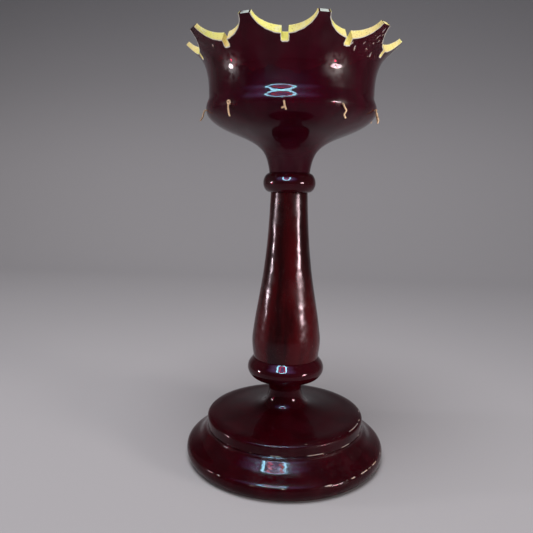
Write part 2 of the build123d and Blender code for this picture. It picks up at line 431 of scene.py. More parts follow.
def wear_group() -> bpy.types.NodeTree:
    """Make the group for worn gold: rubbed patches, fine scratches and a slow drift of tone."""
    nodes, given = new_group(
        "rubbed_gold",
        {"Patch Scale": 160.0, "Grain Scale": 1400.0},
        {"Rubbed": "NodeSocketFloat", "Grain": "NodeSocketFloat", "Tone": "NodeSocketFloat"},
    )
    patches = noise(nodes, given["Place"], given["Patch Scale"], 5.0, 0.65)
    grain = noise(nodes, given["Place"], given["Grain Scale"], 2.0)
    tone = noise(nodes, given["Place"], 40.0, 2.0)
    nodes.add(
        "NodeGroupOutput",
        {"Rubbed": nodes.ramp(patches, 0.52, 0.70), "Grain": grain, "Tone": tone},
    )
    return nodes.tree


def new_material(name: str) -> tuple[bpy.types.Material, Nodes]:
    """Start a material with an empty node tree."""
    material = bpy.data.materials.new(name)
    material.use_nodes = True
    return material, Nodes(material.node_tree)


def effect(nodes: Nodes, group: bpy.types.NodeTree, values: dict[str, float]) -> bpy.types.Node:
    """Place a shader group in a material, on the piece's own coordinates."""
    place = nodes.add("ShaderNodeTexCoord").outputs["Object"]
    node = nodes.add("ShaderNodeGroup", node_tree=group)
    nodes.tree.links.new(place, node.inputs["Place"])
    for key, value in values.items():
        node.inputs[key].default_value = value
    return node


@dataclass(frozen=True)
class RubyGlass:
    """Deep ruby glass: black in the mass, red where it is thin, with handling marks on its polish."""

    name: str
    colour: Colour
    clear: float = 0.5
    absorbed_tint: Colour = (0.80, 0.0, 0.05)
    density: float = 350.0
    ior: float = 1.33
    reflected_tint: Colour = (1.0, 0.76, 0.88)
    polish: float = 0.02
    smeared: float = 0.12
    grease: float = 0.30
    grease_spread: float = 0.34
    smear_scale: float = 16.0
    thumbed: tuple[tuple[float, float, float], ...] = ()
    thumb_size: float = 0.015
    wiped_scale: float = 210.0
    dust: Colour = (0.42, 0.34, 0.32)
    dust_scale: float = 1500.0
    ripple_scale: float = 55.0
    ripple_height: float = 0.00006
    streaked: float = 0.2
    streak_scale: float = 70.0
    streak_shares: tuple[float, float, float] = (1.0, 1.0, 0.10)

    def make(self, marks: bpy.types.NodeTree) -> bpy.types.Material:
        """Build the material.

        Args:
            marks: the group for handling marks.

        Returns:
            The material.
        """
        material, nodes = new_material(self.name)
        worn = effect(nodes, marks, {"Smear Scale": self.smear_scale, "Dust Scale": self.dust_scale})
        place = nodes.add("ShaderNodeTexCoord").outputs["Object"]
        greasy = worn.outputs["Smears"]
        wiped = nodes.ramp(noise(nodes, place, self.wiped_scale, 3.0), 0.36, 0.60)
        for middle in self.thumbed:
            away = nodes.add("ShaderNodeVectorMath", {0: place, 1: middle}, operation="DISTANCE")
            thumb = nodes.ramp(away.outputs["Value"], self.thumb_size, 0.2 * self.thumb_size)
            mark = nodes.add("ShaderNodeMath", {0: thumb, 1: wiped}, operation="MULTIPLY")
            more = nodes.add("ShaderNodeMath", {0: greasy, 1: mark.outputs["Value"]}, operation="MAXIMUM")
            greasy = more.outputs["Value"]
        upright = stretched(nodes, place, self.streak_shares)
        streak = nodes.ramp(noise(nodes, upright, self.streak_scale, 3.0), 0.36, 0.66)
        thick, thin = (
            (*(part * share for part in self.colour), 1.0) for share in (1 - self.streaked, 1 + self.streaked)
        )
        glass = nodes.blend(streak, thick, thin)
        colour = nodes.blend(worn.outputs["Dust"], glass, (*self.dust, 1.0))
        ripple = noise(nodes, place, self.ripple_scale, 1.0)
        bump = nodes.add(
            "ShaderNodeBump", {"Height": ripple, "Strength": 1.0, "Distance": self.ripple_height}
        )
        rough = nodes.scaled(worn.outputs["Smears"], self.polish, self.smeared)
        surface = nodes.add(
            "ShaderNodeBsdfPrincipled",
            {
                "Base Color": colour,
                "Roughness": rough,
                "IOR": self.ior,
                "Specular Tint": (*self.reflected_tint, 1.0),
                "Transmission Weight": self.clear,
                "Metallic": 0.0,
                "Coat Weight": nodes.scaled(greasy, 0.02, self.grease),
                "Coat Roughness": self.grease_spread,
                "Normal": bump.outputs["Normal"],
            },
        )
        inside = nodes.add(
            "ShaderNodeVolumeAbsorption", {"Color": (*self.absorbed_tint, 1.0), "Density": self.density}
        )
        nodes.add(
            "ShaderNodeOutputMaterial",
            {"Surface": surface.outputs["BSDF"], "Volume": inside.outputs["Volume"]},
        )
        return material


@dataclass(frozen=True)
class FiredGilding:
    """Fired-on gold, satin, rubbed pale at its high places."""

    gold: Colour = (0.93, 0.75, 0.33)
    lemon_gold: Colour = (0.90, 0.86, 0.25)
    rubbed: Colour = (0.88, 0.86, 0.52)
    bare_edge: Colour = (0.80, 0.74, 0.68)
    pits: Colour = (0.46, 0.34, 0.15)
    metallic: float = 0.04
    gloss: float = 0.22
    roughness: tuple[float, float] = (0.42, 0.58)
    patch_scale: float = 170.0
    grain_scale: float = 1500.0

    def make(self, name: str, wear: bpy.types.NodeTree) -> bpy.types.Material:
        """Build the material under a name, with the group for worn gold."""
        material, nodes = new_material(name)
        worn = effect(nodes, wear, {"Patch Scale": self.patch_scale, "Grain Scale": self.grain_scale})
        tone = nodes.ramp(worn.outputs["Tone"], 0.35, 0.65)
        toned = nodes.blend(tone, (*self.lemon_gold, 1.0), (*self.gold, 1.0))
        rubbed = nodes.blend(worn.outputs["Rubbed"], toned, (*self.rubbed, 1.0))
        pitted = nodes.blend(nodes.ramp(worn.outputs["Grain"], 0.58, 0.72), rubbed, (*self.pits, 1.0))
        edge = nodes.add("ShaderNodeAttribute", attribute_name="worn_edge").outputs["Fac"]
        colour = nodes.blend(edge, pitted, (*self.bare_edge, 1.0))
        bump = nodes.add(
            "ShaderNodeBump", {"Height": worn.outputs["Grain"], "Strength": 0.6, "Distance": 0.00005}
        )
        surface = nodes.add(
            "ShaderNodeBsdfPrincipled",
            {
                "Base Color": colour,
                "Metallic": self.metallic,
                "Specular IOR Level": self.gloss,
                "Roughness": nodes.scaled(worn.outputs["Rubbed"], *self.roughness),
                "Normal": bump.outputs["Normal"],
            },
        )
        nodes.add("ShaderNodeOutputMaterial", {"Surface": surface.outputs["BSDF"]})
        return material


@dataclass(frozen=True)
class LastGilding:
    """Gold that is nearly worn away: broken streaks, more of them towards the right."""

    name: str
    gold: Colour = (0.70, 0.46, 0.34)
    silver: Colour = (0.56, 0.50, 0.54)
    scale: float = 110.0
    drawn: tuple[float, float, float] = (1.0, 1.0, 1.0)
    kept: tuple[float, float] = (0.58, 0.72)
    lean_right: float = 1.4
    tone_scale: float = 700.0
    metallic: float = 0.3
    roughness: tuple[float, float] = (0.3, 0.6)

    def make(self) -> bpy.types.Material:
        """Build the material, see-through where the gold is gone."""
        material, nodes = new_material(self.name)
        place = nodes.add("ShaderNodeTexCoord").outputs["Object"]
        streaks = noise(nodes, stretched(nodes, place, self.drawn), self.scale, 1.5)
        right = nodes.add("ShaderNodeSeparateXYZ", {0: place}).outputs["X"]
        lean = nodes.add(
            "ShaderNodeMath", {0: right, 1: self.lean_right, 2: streaks}, operation="MULTIPLY_ADD"
        )
        tone = noise(nodes, place, self.tone_scale, 2.0)
        surface = nodes.add(
            "ShaderNodeBsdfPrincipled",
            {
                "Base Color": nodes.blend(nodes.ramp(tone, 0.4, 0.6), (*self.gold, 1.0), (*self.silver, 1.0)),
                "Metallic": self.metallic,
                "Roughness": nodes.scaled(tone, *self.roughness),
                "Alpha": nodes.ramp(lean.outputs["Value"], *self.kept),
            },
        )
        nodes.add("ShaderNodeOutputMaterial", {"Surface": surface.outputs["BSDF"]})
        return material


@dataclass(frozen=True)
class GroundGlass:
    """Glass ground flat and rubbed bare of its gold: a pale, matt, bluish grey."""

    pale: Colour = (0.50, 0.56, 0.54)
    dim: Colour = (0.20, 0.20, 0.22)
    roughness: tuple[float, float] = (0.35, 0.6)
    patch_scale: float = 240.0
    grain_scale: float = 1800.0

    def make(self, wear: bpy.types.NodeTree) -> bpy.types.Material:
        """Build the material with the group for worn gold, used here for its rubbed patches."""
        material, nodes = new_material("ground_glass")
        worn = effect(nodes, wear, {"Patch Scale": self.patch_scale, "Grain Scale": self.grain_scale})
        colour = nodes.blend(worn.outputs["Rubbed"], (*self.pale, 1.0), (*self.dim, 1.0))
        bump = nodes.add(
            "ShaderNodeBump", {"Height": worn.outputs["Grain"], "Strength": 0.8, "Distance": 0.00006}
        )
        surface = nodes.add(
            "ShaderNodeBsdfPrincipled",
            {
                "Base Color": colour,
                "Roughness": nodes.scaled(worn.outputs["Tone"], *self.roughness),
                "Normal": bump.outputs["Normal"],
            },
        )
        nodes.add("ShaderNodeOutputMaterial", {"Surface": surface.outputs["BSDF"]})
        return material


@dataclass(frozen=True)
class TarnishedBrass:
    """Thin brass wire gone brown in places, with brighter rubbed metal between."""

    bright: Colour = (0.88, 0.60, 0.38)
    tarnish: Colour = (0.36, 0.21, 0.11)
    metallic: tuple[float, float] = (0.45, 0.30)
    roughness: tuple[float, float] = (0.44, 0.62)
    patch_scale: float = 420.0
    grain_scale: float = 2600.0

    def make(self, wear: bpy.types.NodeTree) -> bpy.types.Material:
        """Build the material with the group for worn gold."""
        material, nodes = new_material("hanger_brass")
        worn = effect(nodes, wear, {"Patch Scale": self.patch_scale, "Grain Scale": self.grain_scale})
        colour = nodes.blend(worn.outputs["Rubbed"], (*self.bright, 1.0), (*self.tarnish, 1.0))
        bump = nodes.add(
            "ShaderNodeBump", {"Height": worn.outputs["Grain"], "Strength": 0.7, "Distance": 0.00008}
        )
        surface = nodes.add(
            "ShaderNodeBsdfPrincipled",
            {
                "Base Color": colour,
                "Metallic": nodes.scaled(worn.outputs["Rubbed"], *self.metallic),
                "Roughness": nodes.scaled(worn.outputs["Rubbed"], *self.roughness),
                "Normal": bump.outputs["Normal"],
            },
        )
        nodes.add("ShaderNodeOutputMaterial", {"Surface": surface.outputs["BSDF"]})
        return material


@dataclass(frozen=True)
class Finishes:
    """The finishes of the lustre, made once and shared by its pieces."""

    bowl_glass: bpy.types.Material
    stem_glass: bpy.types.Material
    foot_glass: bpy.types.Material
    solid_glass: bpy.types.Material
    gilding: bpy.types.Material
    gilt_lines: bpy.types.Material
    gilt_streaks: bpy.types.Material
    ground: bpy.types.Material
    brass: bpy.types.Material

    @classmethod
    def make(cls) -> Finishes:
        """Build the shader groups and every finish."""
        marks, wear = smudge_group(), wear_group()
        return cls(
            RubyGlass(
                "ruby_glass_bowl", (0.12, 0.004, 0.024), 0.78, ior=1.22, grease=0.5,
                thumbed=((0.0343, -0.0571, 0.3125), (-0.0388, -0.054, 0.3136)),
            ).make(marks),
            RubyGlass(
                "ruby_glass_stem", (0.085, 0.0016, 0.0036), 0.6, polish=0.16, smeared=0.36, grease=0.14,
                smear_scale=42.0, ripple_scale=85.0, ripple_height=0.0007, streaked=0.65,
            ).make(marks),
            RubyGlass(
                "ruby_glass_foot", (0.08, 0.0013, 0.008), 0.74, ior=1.22, polish=0.035, grease=0.34,
                thumbed=((0.0, -0.0696, 0.0223), (0.052, -0.05, 0.020)), thumb_size=0.030,
            ).make(marks),
            RubyGlass("ruby_glass_solid", (0.06, 0.001, 0.006), 0.6, density=120.0, polish=0.035).make(marks),
            FiredGilding().make("gilding", wear),
            LastGilding("gilt_lines").make(),
            LastGilding(
                "gilt_streaks", scale=330.0, drawn=(1.0, 1.0, 0.16), kept=(0.685, 0.735), lean_right=0.9
            ).make(),
            GroundGlass().make(wear),
            TarnishedBrass().make(wear),
        )


def dressed(
    piece: bpy.types.Object,
    finish: bpy.types.Material,
    body: str = "root",
    stands_for: Sequence[str] = (),
) -> bpy.types.Object:
    """Give a piece its finish, its body and the CAD nodes that it stands for."""
    piece.data.materials.clear()
    piece.data.materials.append(finish)
    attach(piece, body)
    if stands_for:
        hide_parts(*stands_for)
    log.info("%s: %d points, rides on %s", piece.name, len(piece.data.vertices), body)
    return piece


# --- The glass stack --------------------------------------------------------------------------------

JOINT_GAP = 0.02
JOINT_EDGE = 0.35


def seat_edge(before: Point, seat: Point, middle: Point) -> Array:
    """Round the edge between a side and the flat seat beside it, as fire-polished glass is."""
    return rounded([before, seat, middle], JOINT_EDGE)[1:-1]


@dataclass
class Foot:
    """The hollow foot: round edge, flared skirt, groove, band, dished top and waisted neck."""

    radius: float = 84.3
    edge_height: float = 8.0
    edge_undercut: float = 4.8
    rest_width: float = 5.5
    skirt_width: float = 17.7
    skirt_height: float = 18.6
    groove_width: float = 1.4
    groove_depth: float = 0.9
    band_height: float = 5.5
    shoulder_width: float = 3.1
    shoulder_height: float = 3.5
    dish_height: float = 20.0
    waist_radius: float = 13.9
    neck_height: float = 9.0
    wall: float = 5.5
    crown_rise: float = 5.0
    seat_radius: float = 16.0
    skirt_shares: tuple = ((0.93, 0.23), (0.70, 0.385), (0.40, 0.545), (0.17, 0.77))
    shoulder_shares: tuple = ((0.78, 0.66),)
    dish_shares: tuple = ((0.83, 0.045), (0.53, 0.11), (0.245, 0.23), (0.093, 0.40), (0.022, 0.70))
    neck_shares: tuple = ((0.15, 0.55),)

    @property
    def disc_radius(self) -> float:
        """The radius of the stepped disc."""
        return self.radius - self.skirt_width

    @property
    def skirt_level(self) -> float:
        """The level where the skirt meets the groove."""
        return self.edge_height + self.skirt_height

    @property
    def band_level(self) -> float:
        """The level of the band's lower edge."""
        return self.skirt_level + self.groove_width

    @property
    def dish_level(self) -> float:
        """The level of the rim of the dished top."""
        return self.band_level + self.band_height + self.shoulder_height

    @property
    def top(self) -> float:
        """The level of the seat that the knop stands on."""
        return self.dish_level + self.dish_height + self.neck_height

    def skirt(self) -> Array:
        """List the points of the skirt's outline."""
        inner = placed(
            self.skirt_shares, (self.disc_radius, self.edge_height), (self.radius, self.skirt_level)
        )
        return np.concatenate(
            [[(self.radius, self.edge_height)], inner, [(self.disc_radius, self.skirt_level)]]
        )

    def dish(self) -> Array:
        """List the points of the dished top and the neck, out to in."""
        rim = (self.disc_radius - self.shoulder_width, self.dish_level)
        waist = (self.waist_radius, self.dish_level + self.dish_height)
        seat = (self.seat_radius, self.top)
        return np.concatenate(
            [
                [rim],
                placed(self.dish_shares, (self.waist_radius, self.dish_level), (rim[0], waist[1])),
                [waist],
                placed(self.neck_shares, waist, seat),
                [seat],
            ]
        )

    def outside(self) -> Array:
        """Sample the outside, from the flat of the resting ring up to the edge of the seat."""
        drop = self.edge_height
        edge_radius = (self.edge_undercut**2 + drop**2) / (2 * self.edge_undercut)
        sweep = np.linspace(-np.arcsin(drop / edge_radius), 0, 14)
        centre = (self.radius - edge_radius, self.edge_height)
        edge = np.stack([centre[0] + edge_radius * np.cos(sweep), centre[1] + edge_radius * np.sin(sweep)], 1)
        skirt = spline_through(self.skirt(), 60, (0, 1), (0, 1))
        skirt = skirt[skirt[:, 1] < self.skirt_level - 0.8]
        groove = rounded(
            [
                (self.disc_radius, self.skirt_level - 0.7),
                (self.disc_radius, self.skirt_level),
                (self.disc_radius - self.groove_depth, self.skirt_level + self.groove_width / 2),
                (self.disc_radius, self.band_level),
                (self.disc_radius, self.band_level + 1.2),
            ],
            0.3,
        )
        band_top = (self.disc_radius, self.band_level + self.band_height)
        band = straight((self.disc_radius, self.band_level + 1.6), band_top, 5)
        shoulder = placed(
            self.shoulder_shares,
            (self.disc_radius - self.shoulder_width, band_top[1]),
            (self.disc_radius, self.dish_level),
        )
        top = spline_through([band_top, *shoulder, *self.dish()], 110)
        return np.concatenate([edge, skirt[1:], groove, band, top[1:-1]])

    def hollow(self) -> Array:
        """Sample the inside, from the crown down to the resting ring."""
        band_top = (self.disc_radius, self.band_level + self.band_height)
        skirt = lined([(self.radius, 0), *self.skirt(), band_top], self.wall)
        dish = lined([band_top, *self.dish()[:4]], self.wall)
        crown = (0.0, self.dish_level + self.crown_rise)
        roof = spline_through([crown, *dish[::-1]], 40, (1, 0), (1, 0))
        step = rounded([roof[-2], roof[-1], skirt[-1], skirt[-2]], 1.0)
        side = spline_through(skirt[::-1], 40)
        return np.concatenate([roof[:-2], step[1:-1], side[2:]])

    def outline(self) -> Array:
        """Sample the whole outline, axis to axis, up the outside and down the inside."""
        ring_in = self.radius - self.edge_undercut - self.rest_width
        ring_out = self.radius - self.edge_undercut
        outside, hollow = self.outside(), self.hollow()
        ring = rounded([hollow[-1], (ring_in, 0), (ring_out, 0), outside[1]], 0.5)
        level = self.top - JOINT_GAP
        seat = seat_edge(tuple(outside[-1]), (self.seat_radius, level), (0, level))
        pole = [(0.0, level)]
        # Up the outside from the ring to the seat, and from the crown down the inside, as one loop cut
        # open at the axis.
        return np.concatenate([hollow, ring[1:-1], outside[1:], seat, pole])

    def build(self, finishes: Finishes) -> bpy.types.Object:
        """Build and dress the foot."""
        piece = turned_piece("foot_glass", self.outline(), Closing.POLES)
        return dressed(piece, finishes.foot_glass, stands_for=["foot"])


@dataclass
class LowerKnop:
    """The solid round knop between the foot and the stem."""

    bottom: float
    radius: float = 32.4
    height: float = 20.2
    lower_seat: float = 16.0
    upper_seat: float = 27.4
    shares: tuple = ((0.37, 0.06), (0.73, 0.16), (0.94, 0.35), (1.0, 0.53), (0.94, 0.73), (0.82, 0.87))

    @property
    def top(self) -> float:
        """The level of the stem's seat."""
        return self.bottom + self.height

    def outline(self) -> Array:
        """Sample the outline from the middle of the lower seat up to the middle of the upper one."""
        low, high = (self.lower_seat, self.bottom), (self.upper_seat, self.top)
        side = spline_through([low, *placed(self.shares, low, (self.radius, self.top)), high], 70)
        base, top = self.bottom + JOINT_GAP, self.top - JOINT_GAP
        lower = seat_edge((0, base), (self.lower_seat, base), tuple(side[3]))
        upper = seat_edge(tuple(side[-4]), (self.upper_seat, top), (0, top))
        return np.concatenate([[(0, base)], lower, side[3:-3], upper, [(0, top)]])

    def build(self, finishes: Finishes) -> bpy.types.Object:
        """Build and dress the knop."""
        piece = turned_piece("lower_knop_glass", self.outline(), Closing.POLES)
        return dressed(piece, finishes.solid_glass, stands_for=["lower_knop"])


@dataclass
class Stem:
    """The hollow baluster stem."""

    bottom: float
    radius: float = 28.8
    height: float = 138.3
    wall: float = 4.2
    lower_seat: float = 27.4
    upper_seat: float = 15.2
    shares: tuple = (
        (0.96, 0.045),
        (1.0, 0.11),
        (0.95, 0.16),
        (0.84, 0.237),
        (0.53, 0.418),
        (0.25, 0.62),
        (0.075, 0.835),
    )

    @property
    def top(self) -> float:
        """The level of the neck ring's seat."""
        return self.bottom + self.height

    def outline(self) -> Array:
        """Sample the closed outline of the wall: up the outside and down the bore."""
        low, high = (self.lower_seat, self.bottom), (self.upper_seat, self.top)
        line = [low, *placed(self.shares, (self.upper_seat, self.bottom), (self.radius, self.top)), high]
        bore = [
            (self.lower_seat - self.wall, self.bottom),
            *lined(line, self.wall),
            (self.upper_seat - self.wall, self.top),
        ]
        outer, inner = spline_through(line, 150), spline_through(bore[::-1], 90)
        base, top = self.bottom + JOINT_GAP, self.top - JOINT_GAP
        return np.concatenate(
            [
                rounded([(inner[-1, 0], base), (self.lower_seat, base), tuple(outer[2])], JOINT_EDGE)[:-1],
                outer[2:-2],
                rounded([tuple(outer[-3]), (self.upper_seat, top), (inner[0, 0], top)], JOINT_EDGE)[1:],
                inner[1:-1],
            ]
        )

    def build(self, finishes: Finishes) -> bpy.types.Object:
        """Build and dress the stem."""
        piece = turned_piece("stem_glass", self.outline(), Closing.LOOP, columns=224)
        return dressed(piece, finishes.stem_glass, stands_for=["stem"])


@dataclass
class NeckRing:
    """The solid glass ring between the stem and the bowl."""

    bottom: float
    radius: float = 21.5
    height: float = 15.9
    lower_seat: float = 15.2
    upper_seat: float = 16.6
    shares: tuple = ((0.49, 0.06), (0.86, 0.24), (1.0, 0.49), (0.89, 0.72), (0.67, 0.88))

    @property
    def top(self) -> float:
        """The level of the bowl's seat."""
        return self.bottom + self.height

    def outline(self) -> Array:
        """Sample the outline from the middle of the lower seat up to the middle of the upper one."""
        low, high = (self.lower_seat, self.bottom), (self.upper_seat, self.top)
        side = spline_through([low, *placed(self.shares, low, (self.radius, self.top)), high], 60)
        base, top = self.bottom + JOINT_GAP, self.top - JOINT_GAP
        lower = seat_edge((0, base), (self.lower_seat, base), tuple(side[2]))
        upper = seat_edge(tuple(side[-3]), (self.upper_seat, top), (0, top))
        return np.concatenate([[(0, base)], lower, side[2:-2], upper, [(0, top)]])

    def build(self, finishes: Finishes) -> bpy.types.Object:
        """Build and dress the ring."""
        piece = turned_piece("neck_ring_glass", self.outline(), Closing.POLES)
        return dressed(piece, finishes.solid_glass, stands_for=["neck_ring"])


class Side(Enum):
    """The two sides of the bowl's wall."""

    OUTER = "outside"
    INNER = "inside"


@dataclass
class Bowl:
    """The crown bowl: underside, shoulder, wall and flared rim with its scallops, slots and tabs."""

    bottom: float
    radius: float = 67.8
    underside_height: float = 48.4
    shoulder_step: float = 2.3
    shoulder_height: float = 8.6
    wall_height: float = 42.6
    flare: float = 19.0
    wall: float = 6.0
    rim_wall: float = 3.4
    floor: float = 12.6
    seat_radius: float = 16.6
    lean: float = radians(23.0)
    scallop_half_width: float = 22.4
    scallop_depth: float = 15.3
    slot_width: float = 4.8
    slot_depth: float = 4.4
    slot_corner: float = 0.8
    gilding: float = 0.25
    hole_radius: float = 1.0
    hole_below_shoulder: float = 1.5
    underside_shares: tuple = (
        (0.027, 0.157),
        (0.104, 0.343),
        (0.203, 0.442),
        (0.373, 0.541),
        (0.594, 0.634),
        (0.773, 0.721),
        (0.906, 0.816),
        (0.979, 0.907),
    )
    shoulder_shares: tuple = ((0.80, 0.40), (0.28, 0.76))
    base_share: Point = (0.405, 0.75)
    flare_before: tuple = ((0.0, 0.116), (0.026, 0.328), (0.132, 0.533), (0.237, 0.646))
    flare_after: Point = (0.605, 0.84)
    slot_steps: int = 5
    side_steps: int = 3
    scallop_steps: int = 13
    tab_steps: int = 4
    sides: dict = field(default_factory=dict)

    def __post_init__(self) -> None:
        """Sample both sides of the wall and find where the cutter leaves the rim."""
        wide = (self.radius, self.widest)
        crease = (self.radius - self.shoulder_step, self.crease)
        rim = (crease[0] + self.flare, self.crease + self.wall_height)
        seat = (self.seat_radius, self.bottom)
        under = [seat, *placed(self.underside_shares, seat, wide), wide]
        turn = placed(self.shoulder_shares, (crease[0], self.widest), (self.radius, self.crease))
        flare_shares = (*self.flare_before, self.base_share, self.flare_after)
        flare = [crease, *placed(flare_shares, crease, rim), rim]
        lip = moved_in(flare[-2], rim, rim, self.rim_wall)
        thin = (self.wall + self.rim_wall) / 2
        floor = [(0.0, self.bottom + self.floor), *lined(under[1:], self.wall)]
        throat = [*lined(flare[:-1], self.wall), moved_in(flare[-3], flare[-2], rim, thin), lip]
        self.under_line = spline_through([*under, *turn, crease], 70)
        self.flare_line = spline_through(flare, 160)
        self.floor_line = spline_through(floor, 46, (1, 0), (0, 1))
        self.throat_line = spline_through(throat, 160, (0, 1), (0.7071, 0.7071))
        self.base = placed((self.base_share,), crease, rim)[0]
        self.lip, self.rim = lip, np.asarray(rim)
        self.sides = {Side.OUTER: self.flare_line, Side.INNER: self.throat_line}
        self.leaves = {side: self.leaving(side) for side in Side}

    @property
    def widest(self) -> float:
        """The level of the widest part of the shoulder."""
        return self.bottom + self.underside_height

    @property
    def crease(self) -> float:
        """The level of the crease above the shoulder."""
        return self.widest + self.shoulder_height

    @property
    def edge_points(self) -> int:
        """How many points half of the cutter's edge has."""
        return self.slot_steps + self.side_steps + self.scallop_steps + 2

    def wall_radius(self, side: Side, height: Array) -> Array:
        """Give the radius of a side of the wall at a height, run on straight past the rim."""
        line = self.sides[side]
        slope = (line[-1, 0] - line[-6, 0]) / (line[-1, 1] - line[-6, 1])
        beyond = np.maximum(height - line[-1, 1], 0) * slope
        return np.interp(height, line[:, 1], line[:, 0]) + beyond

    def cut_line(self, across: Array, out: Array, along: Array) -> tuple[Array, Array, Array]:
        """Place points of the front bay's cut.

        Args:
            across: distance to the right of the bay's middle.
            out: distance outward and up from the lowest point of the scallop, square to the cut.
            along: distance up along the cut, which leans in as it rises.

        Returns:
            Radius, turn from the front and height.
        """
        y = self.base[0] + out * cos(self.lean) - along * sin(self.lean)
        z = self.base[1] + out * sin(self.lean) + along * cos(self.lean)
        return np.hypot(across, y), np.arctan2(across, y), z

    def where_cut(self, side: Side, across: Array, out: Array) -> Array:
        """Find how far along the cut each of its lines meets a side of the wall, by halving."""
        low, high = np.full(np.shape(across), -40.0), np.full(np.shape(across), 40.0)
        for _ in range(44):
            middle = (low + high) / 2
            radius, _, height = self.cut_line(across, out, middle)
            outside = radius > self.wall_radius(side, height)
            low, high = np.where(outside, middle, low), np.where(outside, high, middle)
        return (low + high) / 2

    def scallop(self, angle: Array, growth: Array) -> tuple[Array, Array]:
        """Give the cutter's half-ellipse, grown all round, at angles from its lowest point."""
        across = (self.scallop_half_width + growth) * np.sin(angle)
        return across, self.scallop_depth - (self.scallop_depth + growth) * np.cos(angle)

    def leaving(self, side: Side) -> tuple[float, float]:
        """Find the scallop's angle where it leaves the rim, ungrown and grown by the gilding."""
        angles = np.linspace(0.2, 1.5, 200)
        found = []
        for growth in (0.0, self.gilding):
            across, out = self.scallop(angles, growth)
            height = self.cut_line(across, out, self.where_cut(side, across, out))[2]
            found.append(float(np.interp(self.sides[side][-1, 1], height, angles)))
        return found[0], found[1]

    def cut_edge(self, growth: Array, side: Side) -> tuple[Array, Array]:
        """List half of the cutter's edge, from the bottom of the slot to the tab.

        The slot has a flat bottom, a quarter circle for its corner and a straight side, and the
        scallop is a part of an ellipse that ends where it leaves the rim on the given side.

        Args:
            growth: how far the cutter is grown, one number or one for each point of the edge.
            side: the side of the wall whose rim ends the edge.

        Returns:
            Distance across and distance out of every point.
        """
        grown = np.broadcast_to(np.asarray(growth, float), (self.edge_points,))
        slot = self.slot_width / 2 + grown
        centre = (self.slot_width / 2 - self.slot_corner, self.slot_corner - self.slot_depth)
        ungrown, full = self.leaves[side]
        end = ungrown + (full - ungrown) * grown / self.gilding
        turn = np.linspace(0, pi / 2, self.slot_steps + 1)
        start = np.arcsin(slot / (self.scallop_half_width + grown))
        share = np.linspace(0, 1, self.scallop_steps + 1)
        first, second = self.slot_steps + 2, self.slot_steps + self.side_steps + 1
        reach = self.slot_corner + grown[1:first]
        angle = start[second:] + (end[second:] - start[second:]) * share
        sx, so = self.scallop(angle, grown[second:])
        meet = self.scallop(start, grown)[1]
        run = np.linspace(0, 1, self.side_steps + 1)[1:-1]
        bottom = -self.slot_depth - grown[:1]
        across = np.concatenate([[0.0], centre[0] + reach * np.sin(turn), slot[first:second], sx])
        side_out = centre[1] + (meet[first:second] - centre[1]) * run
        out = np.concatenate([bottom, centre[1] - reach * np.cos(turn), side_out, so])
        return across, out

    def on_wall(self, growth: Array, side: Side, lift: float = 0.0) -> Array:
        """Place the cutter's edge on a side of the wall, lifted off it by a little.

        Returns:
            Radius, turn and height, one row per point.
        """
        across, out = self.cut_edge(growth, side)
        radius, turn, height = self.cut_line(across, out, self.where_cut(side, across, out))
        slope = (self.wall_radius(side, height + 0.2) - self.wall_radius(side, height - 0.2)) / 0.4
        way = 1.0 if side is Side.OUTER else -1.0
        size = np.hypot(1, slope)
        return np.stack([radius + way * lift / size, turn, height - way * lift * slope / size], axis=-1)

    def across_wall(self, growth: float, share: float) -> Array:
        """Place the cutter's edge on the cut face, a share of the way from outside to inside."""
        edges = [self.cut_edge(growth, side) for side in Side]
        along = [self.where_cut(side, *edge) for side, edge in zip(Side, edges)]
        across, out = (a + (b - a) * share for a, b in zip(*edges))
        return np.stack(self.cut_line(across, out, along[0] + (along[1] - along[0]) * share), axis=-1)

    def tab(self, side: Side) -> Array:
        """Place the top of half a tab on a side of the wall, past the corner up to its middle."""
        corner = self.on_wall(self.gilding, side)[-1]
        turn = np.linspace(corner[1], BAY_ANGLE / 2, self.tab_steps + 1)[1:]
        return np.stack([np.full(len(turn), corner[0]), turn, np.full(len(turn), corner[2])], axis=-1)

    def rim_rows(self) -> Array:
        """Place the rows that cross the cut rim of a whole bay, outside to inside.

        Returns:
            Rows by columns of radius, turn and height.
        """
        tabs = {side: self.tab(side) for side in Side}
        shares = (0.0, 0.25, 0.5, 0.75, 1.0)
        half = [
            np.concatenate([
                self.across_wall(self.gilding, share),
                tabs[Side.OUTER] + (tabs[Side.INNER] - tabs[Side.OUTER]) * share,
            ])
            for share in shares
        ]
        return both_halves(np.array(half))

    def outline_rows(self) -> Array:
        """Place every row of one bay of the bowl, axis to axis, as radius, turn and height."""
        rim = self.rim_rows()
        columns = rim.shape[1]
        even = np.linspace(-0.5, 0.5, columns) * BAY_ANGLE
        turn = 0.45 * rim[0, :, 1] + 0.55 * even
        level = self.bottom + JOINT_GAP
        seat = seat_edge((0, level), (self.seat_radius, level), tuple(self.under_line[2]))
        start = self.flare_line[self.flare_line[:, 1] < self.crease + 5][::5]
        below = np.concatenate([seat, self.under_line[2:-1], start])
        throat = self.throat_line[self.throat_line[:, 1] < self.crease + 7]
        wall = straight(tuple(throat[0]), tuple(self.floor_line[-1]), 4)[1:-1]
        inside = np.concatenate([throat[::-6], wall, self.floor_line[:0:-1]])
        rows_below = np.stack(np.broadcast_arrays(below[:, :1], turn[None], below[:, 1:]), axis=-1)
        rows_inside = np.stack(np.broadcast_arrays(inside[:, :1], turn[None], inside[:, 1:]), axis=-1)
        up = self.fan(rows_below[-1], rim[0], Side.OUTER)
        down = self.fan(rows_inside[0], rim[-1], Side.INNER)[::-1]
        return np.concatenate([rows_below, up, rim, down, rows_inside])

